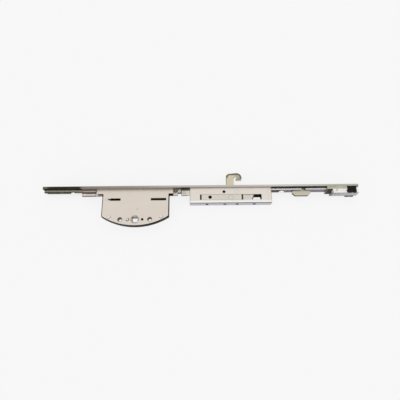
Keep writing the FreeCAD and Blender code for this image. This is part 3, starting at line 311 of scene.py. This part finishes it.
# Hub and sleeves.
# A cast hub, ground bright on its face, with painted shade in its square hole and dark teeth, and
# two steel tubes for the handle's screws, dark and mottled.


def hub_marks(place, facing):
    """Painted shade on the faces that don't lie flat, in the hole and on the teeth, the teeth darker
    still, and a dull ring between the rim and the square.
    """
    level_face = facing.axis(2).math("ABSOLUTE").above(0.5, 0.3)
    out = distance(place, 0.0, 0.0)
    rim = out.above(0.0064, 0.0003)
    groove = out.within(0.0048, 0.0056, 0.0003) * level_face
    return ((1.0 - level_face) * 0.55 + rim * 0.8 + groove * 0.45).clamp(), 1.0 - groove * 0.3


dress(["hub"], plated("hub_plating", (0.72, 0.66, 0.58), 0.38, cloudy=0.2, marks=hub_marks))
dress(["handle_screw_sleeves"], plated("dark_mottled_steel", (0.16, 0.13, 0.105), 0.5, cloudy=0.5,
                                       grain=(900.0, 900.0, 900.0), streaks=0.35))

# Slides.
# Blanked steel plates that move in the cases. Inside the cases they carry painted shade, and outside
# they are bright, with painted shade on their sheared edges and a dark line where one lies on the next.

SLIDE_STEEL = (0.72, 0.67, 0.60)
INSIDE_CASE = (-0.0505, 0.0545)
TAB_STRETCH = (-0.046, TAB_ENDS[1])
LINK_HOLE = (0.0581, 0.0444)
LINK_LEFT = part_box("slide_link")[0][0]
TONGUE_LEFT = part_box("hook_slide")[0][0]
ROD_CORNER = 0.0411


def sheared(facing):
    """The sheared edges of a plate that lies across Z."""
    return 1.0 - facing.axis(2).math("ABSOLUTE").above(0.5, 0.3)


def drive_slide_marks(place, facing):
    """Painted shade on the stretch that runs inside the gear case, clear of the tab, in and round the
    hole, and on the sheared edges.
    """
    inside = place.axis(0).within(*INSIDE_CASE, 0.001)
    by_tab = place.axis(0).within(*TAB_STRETCH, 0.0006) \
        * (1.0 - place.axis(1).above(TAB_HEIGHTS[1], 0.002))
    hole = 1.0 - distance(place, *LINK_HOLE).above(0.0026, 0.0008)
    return inside * (1.2 - by_tab) + sheared(facing) * 0.85 + hole * 0.8, 1.0 - by_tab * 0.1


def slide_marks(place, facing):
    """Painted shade on the sheared edges."""
    return sheared(facing) * 0.85, 1.0 - sheared(facing) * 0.1


def tab_marks(place, facing):
    """Painted shade on the tab that stays under the cover, and none on the one that reaches the face."""
    return place.axis(0).above(0.0, 0.001) * 1.3, 1.0


def link_marks(place, facing):
    """Dark lines where the link meets the case's ear and the tongue, and painted shade on the sheared
    edges.
    """
    joint = 1.0 - place.axis(0).within(LINK_LEFT + 0.0005, TONGUE_LEFT - 0.001, 0.0004)
    return sheared(facing) * 0.9 + joint * 0.85, 1.0 - sheared(facing) * 0.1


def connector_marks(place, facing):
    """Painted shade in the corner under the rod and on the sheared edges."""
    corner = place.axis(1).above(ROD_CORNER, 0.0006)
    return sheared(facing) * 0.85 + corner * 0.85, 1.0 - sheared(facing) * 0.1


dress(["drive_slide"], plated("drive_slide_plating", SLIDE_STEEL, 0.38, marks=drive_slide_marks))
dress(["right_connector"], plated("slide_plating", SLIDE_STEEL, 0.38, marks=slide_marks))
dress(["guide_tabs"], plated("tab_plating", CASE_STEEL, 0.38, marks=tab_marks))
dress(["slide_link"], plated("link_plating", SLIDE_STEEL, 0.38, marks=link_marks))
dress(["left_connector"], plated("connector_plating", (0.74, 0.67, 0.60), 0.38,
                                 marks=connector_marks))

# Hook slide and its raised plate.
# The thin slide under the hook case's cover, whose tongue is riveted to the link, and the
# plate that shows in the window, with a punched hole and the head of the hook's pin.

TONGUE_TOP = 0.0444
TONGUE_RIGHT = 0.0788
STRIP_TOP = 0.0365
STRIP_SLANT = 0.4
STRIP_CORNER = (0.171, 0.0268)
WINDOW_LEFT = 0.0905
LINK_RIVET = (0.0709, 0.0402)
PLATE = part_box("window_plate")
PLATE_HOLE = (0.109, 0.03225)
PIN = [(a + b) / 2 for a, b in zip(*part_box("hook_drive_pin"))]


def hook_slide_marks(place, facing):
    """A dark ring round the link's rivet and a dark line at the tongue's left end, and painted shade
    along the tongue's top, beside and under the raised plate, along the strip's slanted end and on the
    sheared edges."""
    along = place.axis(0)
    up = place.axis(1)
    ring = distance(place, *LINK_RIVET).within(0.0014, 0.0022, 0.0004)
    end = 1.0 - along.above(TONGUE_LEFT + 0.0006, 0.0003)
    top = up.above(TONGUE_TOP - 0.0012, 0.0005) * (1.0 - along.above(TONGUE_RIGHT, 0.0004))
    left_gap = along.within(WINDOW_LEFT, PLATE[0][0] + 0.0004, 0.0004)
    right_gap = along.within(PLATE[1][0] - 0.0003, PLATE[1][0] + 0.0022, 0.0004)
    under_hole = 1.0 - distance(place, *PLATE_HOLE).above(0.0030, 0.0003)
    slant_line = STRIP_CORNER[0] - STRIP_CORNER[1] * STRIP_SLANT - 0.0016
    slant = (along - up * STRIP_SLANT).above(slant_line, 0.0004) \
        * (1.0 - up.above(STRIP_TOP, 0.0002))
    grime_and_shade = ring * 0.7 + end * 0.8 + top * 0.7 + left_gap + right_gap * 0.95 + under_hole
    return grime_and_shade + slant * 0.9 + sheared(facing) * 0.95, 1.0 - sheared(facing) * 0.1


def raised_plate_marks(place, facing):
    """A ring round the pin's head, dark ends, and painted shade on the sheared edges."""
    ring = distance(place, PIN[0], PIN[1]).within(0.0033, 0.0038, 0.0003)
    ends = 1.0 - place.axis(0).within(PLATE[0][0] + 0.0003, PLATE[1][0] - 0.0003, 0.0003)
    return ring * 0.4 + ends * 0.8 + sheared(facing) * 0.85, 1.0 - sheared(facing) * 0.1


dress(["hook_slide"], plated("hook_slide_plating", (0.76, 0.71, 0.63), 0.38, marks=hook_slide_marks))
dress(["window_plate"], plated("raised_plate_plating", (0.78, 0.73, 0.66), 0.36,
                               marks=raised_plate_marks))
dress(["slide_link_rivets", "hook_drive_pin"],
      plated("pin_plating", (0.78, 0.73, 0.66), 0.34, grain=ROUND_GRAIN))

# Rods.
# Flat drawn bars behind the faceplate, polished by sliding on their edges, with painted shade
# where they lie against it and on their inner side. The left one is dull.

BRIGHT_STEEL = (0.97, 0.95, 0.92, 1.0)
BLUE_GREY = (0.22, 0.23, 0.28, 1.0)
DULL_GREEN = (0.40, 0.39, 0.28, 1.0)
DULL_BROWN = (0.66, 0.58, 0.52, 1.0)
PALE_GREY = (0.86, 0.86, 0.84, 1.0)


def outer_side(facing):
    """The sides that lie against the faceplate."""
    return facing.axis(1).above(0.5, 0.2)


def left_rod_colour(place, facing):
    """Green-grey, browner towards the gear case, and lighter below towards the far edge."""
    below = inner_side(facing) * (1.0 - place.axis(2).above(0.0, 0.001))
    edge = mixed(DULL_GREEN, DULL_BROWN, place.axis(0).above(CONNECTOR_LEFT, 0.002))
    return mixed(edge, PALE_GREY, below)


def left_rod_marks(place, facing):
    """Painted shade against the faceplate and along the near half of the inner side."""
    near = inner_side(facing) * place.axis(2).above(0.0, 0.001)
    return outer_side(facing) * 0.9 + near * 0.85, 1.0 - near * 0.1


def rod_colour(place, facing):
    """Bright on the edges, and blue-grey on the inner side as painted shade."""
    return mixed(BRIGHT_STEEL, BLUE_GREY, inner_side(facing))


def rod_marks(place, facing):
    """Painted shade against the faceplate, and a little on the inner side."""
    return outer_side(facing) * 0.9 + inner_side(facing) * 0.12, 1.0 - inner_side(facing) * 0.15


dress(["left_rod"], plated("left_rod_plating", left_rod_colour, 0.42, marks=left_rod_marks))
dress(["right_rod", "extension_rod"],
      plated("rod_plating", rod_colour, 0.32, marks=rod_marks))

# Hook case.
# Two pressed shells, locked by tabs along the long edge, with a long window for the slide. A painted
# highlight runs along the pressing's rounded edge, the back strip is painted grey as shade, with painted
# shade inside, below the rounded edge and along the bottom, and the seam and the locks are dark.

HOOK_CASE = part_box("hook_case_body")
HOOK_CASE_BACK = HOOK_CASE[0][1]
HOOK_CASE_INSIDE = 0.0059
SHEET = 0.0009
LOCKS = [0.1045, 0.1309, 0.149, 0.1742]
LOCK_HALF = 0.0019
PIVOT = [(a + b) / 2 for a, b in zip(*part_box("hook_pivot_pin"))]
WARM_FACE = (0.88, 0.82, 0.75, 1.0)
# The rounded edge's painted highlight, and the walls' grey, which is painted shade.
PAINTED_EDGE_HIGHLIGHT = (1.0, 0.985, 0.96, 1.0)
BACK_STRIP = (0.56, 0.56, 0.60, 1.0)


def hook_case_marks(place, facing):
    """The back strip's lines of painted shade and its dark locks, painted shade inside, and a crease
    painted as a shaded line and a ring on the face.
    """
    height = place.axis(2)
    along = place.axis(0)
    flat = facing.axis(2).math("ABSOLUTE")
    by_back = 1.0 - place.axis(1).above(HOOK_CASE_BACK + 0.004, 0.0004)
    wall = 1.0 - flat.above(0.2, 0.1)
    inside = (1.0 - height.math("ABSOLUTE").above(HOOK_CASE_INSIDE, 0.0002)) \
        * place.axis(1).above(HOOK_CASE_BACK + SHEET, 0.0002) \
        * along.within(HOOK_CASE[0][0] + SHEET, HOOK_CASE[1][0] - SHEET, 0.0002)
    near_line = height.within(0.0031, 0.0060, 0.0006) * (1.0 - flat.above(0.6, 0.1)) \
        * (1.0 - inside) * by_back
    seam = wall * height.within(-0.0003, 0.0003, 0.0002)
    far_line = wall * (1.0 - height.above(-0.0052, 0.0006))
    locks = sum(along.within(x - LOCK_HALF, x + LOCK_HALF, 0.0005) for x in LOCKS) \
        * height.within(-0.0036, 0.0012, 0.0006) * wall
    ring = distance(place, PIVOT[0], PIVOT[1]).within(0.0024, 0.003, 0.0004) * (1.0 - wall)
    crease = along.within(0.1941, 0.1948, 0.0004) * (1.0 - wall)
    grime_and_shade = inside * 0.9 + near_line * 0.7 + seam * 0.25 + far_line * 0.5 + locks * 0.95
    return grime_and_shade + ring * 0.35, 1.0 - crease * 0.12


def hook_case_colour(place, facing):
    """Warm on the face, with a painted highlight along the rounded edge, and lilac grey on the back
    strip as painted shade.
    """
    flat = facing.axis(2).math("ABSOLUTE").above(0.2, 0.1)
    highlight_band = (1.0 - place.axis(1).above(HOOK_CASE_BACK + 0.0028, 0.0012)) * flat
    return mixed(mixed(WARM_FACE, PAINTED_EDGE_HIGHLIGHT, highlight_band), BACK_STRIP, 1.0 - flat)


dress(["hook_case_body", "hook_case_cover"],
      plated("hook_case_plating", hook_case_colour, 0.40, cloudy=0.05, marks=hook_case_marks))
dress(["hook_pivot_pin"], plated("pivot_plating", (0.88, 0.83, 0.77), 0.34, grain=ROUND_GRAIN))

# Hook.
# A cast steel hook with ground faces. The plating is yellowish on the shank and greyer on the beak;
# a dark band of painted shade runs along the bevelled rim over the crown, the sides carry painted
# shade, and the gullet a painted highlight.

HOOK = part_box("hook")
BROW_ROUND = 0.0055
CROWN_ROUND = 0.0075
BROW_MIDDLE = (HOOK[0][0] + BROW_ROUND, HOOK[1][1] - 0.001 - BROW_ROUND)
CROWN_MIDDLE = (HOOK[1][0] - CROWN_ROUND, HOOK[1][1] - CROWN_ROUND)
RIM_WIDE = 0.0029
RIM_LOW = 0.0645
GULLET_SHINE = (0.1467, 0.1497)
SHANK = (0.74, 0.67, 0.50, 1.0)
BEAK = (0.50, 0.47, 0.39, 1.0)
RIM = (0.20, 0.185, 0.14, 1.0)
BELOW = (0.50, 0.46, 0.37, 1.0)
SHINE = (1.0, 0.98, 0.95, 1.0)


def rim_mask(place):
    """The band along the hook's outer edge, from the brow over the crown to the beak's end."""
    up = (place.axis(1) - BROW_MIDDLE[1]).math("MAXIMUM", 0.0)
    left = (BROW_MIDDLE[0] - place.axis(0)).math("MAXIMUM", 0.0)
    brow = BROW_ROUND - (left * left + up * up).math("SQRT")
    rise = (place.axis(1) - CROWN_MIDDLE[1]).math("MAXIMUM", 0.0)
    right = (place.axis(0) - CROWN_MIDDLE[0]).math("MAXIMUM", 0.0)
    crown = CROWN_ROUND - (right * right + rise * rise).math("SQRT")
    inward = brow.math("MINIMUM", crown)
    high = place.axis(1).above(RIM_LOW, 0.003)
    beyond = place.axis(0).above(CROWN_MIDDLE[0], 0.001)
    return (1.0 - inward.above(RIM_WIDE, 0.0008)) * high.math("MAXIMUM", beyond)


def hook_colour(place, facing):
    """Yellowish on the shank and grey on the beak, with painted shade on the outer rim and on the sides
    that face down, and a painted highlight in the gullet.
    """
    face = mixed(SHANK, BEAK, place.axis(0).above(CROWN_MIDDLE[0] - 0.001, 0.006))
    rimmed = mixed(face, RIM, rim_mask(place) * facing.axis(2).above(0.3, 0.2))
    below = (facing.axis(1) * -1).above(0.3, 0.2)
    shine = below * place.axis(1).above(RIM_LOW, 0.0004) * place.axis(0).within(*GULLET_SHINE, 0.0008)
    return mixed(mixed(rimmed, BELOW, below), SHINE, shine)


def hook_marks(place, facing):
    """Painted shade on the bevels and on the shank's sides."""
    tilt = facing.axis(2).math("ABSOLUTE")
    bevel = tilt.within(0.3, 0.97, 0.05)
    sides = (1.0 - tilt.above(0.3, 0.1)) * (1.0 - (facing.axis(1) * -1).above(0.3, 0.2))
    return sides * 0.3 + bevel * 0.1, 1.0 - bevel * 0.1


dress(["hook"], plated("hook_plating", hook_colour, 0.36, cloudy=0.12, marks=hook_marks))

# Coupling block and end housing.
# Zinc die castings, tumbled, with a greenish cast to the plating and painted shade underneath.


GREENISH = (0.56, 0.55, 0.42, 1.0)
PINKISH = (0.72, 0.66, 0.59, 1.0)
RUBBED = (1.0, 0.99, 0.96, 1.0)
BRACKET_LEFT = 0.2895
SHEEN = (0.2960, 0.3040)
BLOCK_END = (0.2335, 0.0422)


def downward(facing):
    """The sides of a casting that face inwards, with their rounded edges."""
    return (facing.axis(1) * -1).above(0.4, 0.3)


def block_marks(place, facing):
    """Painted shade on the inner side, and in the corner between the rod and the block's left end."""
    corner = (1.0 - place.axis(0).above(BLOCK_END[0], 0.003)) * place.axis(1).above(BLOCK_END[1], 0.0005)
    return downward(facing) * 0.7 + corner * 0.6, 1.0 - downward(facing) * 0.1


def housing_colour(place, facing):
    """Greenish, with a painted pinkish sheen near the top, and bright where the bracket rubs."""
    rubbed = downward(facing) * place.axis(2).above(0.0055, 0.0006) \
        * place.axis(0).above(BRACKET_LEFT, 0.0006)
    sheen = place.axis(1).above(0.0452, 0.0015) * place.axis(0).within(*SHEEN, 0.004)
    return mixed(mixed(GREENISH, PINKISH, sheen), RUBBED, rubbed)


def housing_marks(place, facing):
    """Painted shade on the inner side, clear of where the bracket rubs."""
    free = 1.0 - place.axis(0).above(BRACKET_LEFT, 0.0006)
    far = 1.0 - place.axis(2).above(0.002, 0.003)
    return downward(facing) * free.math("MAXIMUM", far) * 0.9, 1.0 - downward(facing) * 0.1


dress(["coupling_block"], plated("block_casting", (0.70, 0.67, 0.53), 0.44, streaks=0.03,
                                 grain=(300.0, 300.0, 300.0), marks=block_marks))
dress(["end_housing"], plated("housing_casting", housing_colour, 0.46, streaks=0.03,
                              grain=(300.0, 300.0, 300.0), marks=housing_marks))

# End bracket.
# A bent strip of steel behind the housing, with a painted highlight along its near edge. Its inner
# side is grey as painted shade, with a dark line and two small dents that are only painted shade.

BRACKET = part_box("end_bracket")
STRIP_GREY = (0.52, 0.52, 0.54, 1.0)
STRIP_BRIGHT = (1.0, 0.985, 0.95, 1.0)
DENTS = [(0.2945, 0.002), (0.2995, 0.001)]
DENT_RADIUS = 0.0013


def dent(place, x, z):
    """A spot on the strip, seen along Y."""
    across = place.axis(0) - x
    deep = place.axis(2) - z
    return 1.0 - (across * across + deep * deep).math("SQRT").above(DENT_RADIUS, 0.0006)


def bracket_colour(place, facing):
    """A painted highlight along the near edge, and grey as painted shade elsewhere."""
    return mixed(STRIP_GREY, STRIP_BRIGHT, near_side(facing))


def bracket_marks(place, facing):
    """The dents, painted as spots of shade, the dark line along the inner side, and soiling at the left
    end.
    """
    dents = sum(dent(place, x, z) for x, z in DENTS)
    line = place.axis(2).above(0.0052, 0.0006)
    left = 1.0 - place.axis(0).above(BRACKET[0][0] + 0.003, 0.001)
    return inner_side(facing) * (dents * 0.7 + line * 0.8) + left * 0.5, \
        1.0 - inner_side(facing) * 0.1


dress(["end_bracket"], plated("bracket_plating", bracket_colour, 0.38, marks=bracket_marks))

# End block.
# Black moulded plastic with a fine matt texture.


def moulded(name, colour):
    """A matt black plastic with a fine eroded texture."""
    material = bpy.data.materials.new(name)
    material.use_nodes = True
    tree = material.node_tree
    shader = tree.nodes["Principled BSDF"]
    place = Sum(tree, tree.nodes.new("ShaderNodeTexCoord").outputs["Object"])
    fine = place.make("ShaderNodeTexNoise", Vector=place, Scale=2500.0, Detail=3.0)
    cloud = place.make("ShaderNodeTexNoise", Vector=place, Scale=120.0, Detail=2.0)
    level = colour * (0.7 + cloud * 0.6)
    grey = place.make("ShaderNodeCombineXYZ", X=level, Y=level * 0.97, Z=level * 0.9)
    tree.links.new(grey.socket, shader.inputs["Base Color"])
    shader.inputs["Specular IOR Level"].default_value = 0.15
    tree.links.new((0.5 + (fine - 0.5) * 0.2).socket, shader.inputs["Roughness"])
    raised = place.make("ShaderNodeBump", Strength=0.3, Distance=0.0001, Height=fine)
    tree.links.new(raised.socket, shader.inputs["Normal"])
    return material


dress(["end_block"], moulded("black_plastic", 0.010))

# Floor.
# A wide white table. It shows as the photo's plain background, and keeps the soft shadow
# of the part that lies on its side.

FLOOR_HALF = 3.0
PAPER_WHITE = (0.88, 0.88, 0.88, 1.0)
PLAIN_WHITE = (0.99, 0.99, 0.995, 1.0)
PLAIN_SHARE = 0.8
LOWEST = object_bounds()[0][2]
floor_mesh = bpy.data.meshes.new("floor")
corners = [(-1, -1), (1, -1), (1, 1), (-1, 1)]
floor_mesh.from_pydata([(x * FLOOR_HALF, y * FLOOR_HALF, LOWEST) for x, y in corners], [],
                       [(0, 1, 2, 3)])
floor = bpy.data.objects.new("floor", floor_mesh)
bpy.context.collection.objects.link(floor)
paper = bpy.data.materials.new("paper")
paper.use_nodes = True
tree = paper.node_tree
shader = tree.nodes["Principled BSDF"]
shader.inputs["Roughness"].default_value = 0.9
shader.inputs["Base Color"].default_value = PAPER_WHITE
path = tree.nodes.new("ShaderNodeLightPath")
seen = Sum(tree, path.outputs["Is Camera Ray"]) + Sum(tree, path.outputs["Is Glossy Ray"]) \
    + Sum(tree, path.outputs["Is Transmission Ray"])
glow = tree.nodes.new("ShaderNodeEmission")
glow.inputs["Color"].default_value = PLAIN_WHITE
mix = tree.nodes.new("ShaderNodeMixShader")
tree.links.new((seen.clamp() * PLAIN_SHARE).socket, mix.inputs[0])
tree.links.new(shader.outputs[0], mix.inputs[1])
tree.links.new(glow.outputs[0], mix.inputs[2])
tree.links.new(mix.outputs[0], tree.nodes["Material Output"].inputs["Surface"])
floor_mesh.materials.append(paper)

# Studio.
# Soft light from all round and above, a little stronger from low behind the cases, where it
# catches the rounded edges.

world = bpy.context.scene.world or bpy.data.worlds.new("studio")
bpy.context.scene.world = world
world.use_nodes = True
tree = world.node_tree
back = tree.nodes["Background"]
toward = Sum(tree, tree.nodes.new("ShaderNodeTexCoord").outputs["Generated"])
SKY = [(0.0, (0.45, 0.45, 0.46)), (0.5, (0.72, 0.72, 0.72)), (0.85, (0.93, 0.925, 0.92))]
sky = toward.make("ShaderNodeValToRGB", Fac=toward.axis(2), stops=SKY)
low_band = toward.axis(2).within(0.12, 0.55, 0.12) * (toward.axis(1) * -1).above(0.5, 0.4)
strength = 0.95 + low_band * 0.9
tree.links.new(sky.socket, back.inputs["Color"])
tree.links.new(strength.socket, back.inputs["Strength"])

# Camera.
# It looks down on the table from behind the cases, 21 degrees off the vertical.

AIM = Vector((0.0939, 0.0354, LOWEST))
REACH = 0.6014
TILT = math.radians(21.0)
TURN = math.radians(-0.6)
camera_data = bpy.data.cameras.new("camera")
camera_data.lens = 36.0
camera_data.sensor_width = 36.0
camera = bpy.data.objects.new("camera", camera_data)
bpy.context.collection.objects.link(camera)
stand = AIM + REACH * Vector((0.0, -math.sin(TILT), math.cos(TILT)))
placed = Matrix.Translation(stand) @ Matrix.Rotation(TILT, 4, "X")
camera.matrix_world = Matrix.Rotation(TURN, 4, "Z") @ placed
bpy.context.scene.camera = camera
bpy.context.scene.view_settings.view_transform = "Standard"
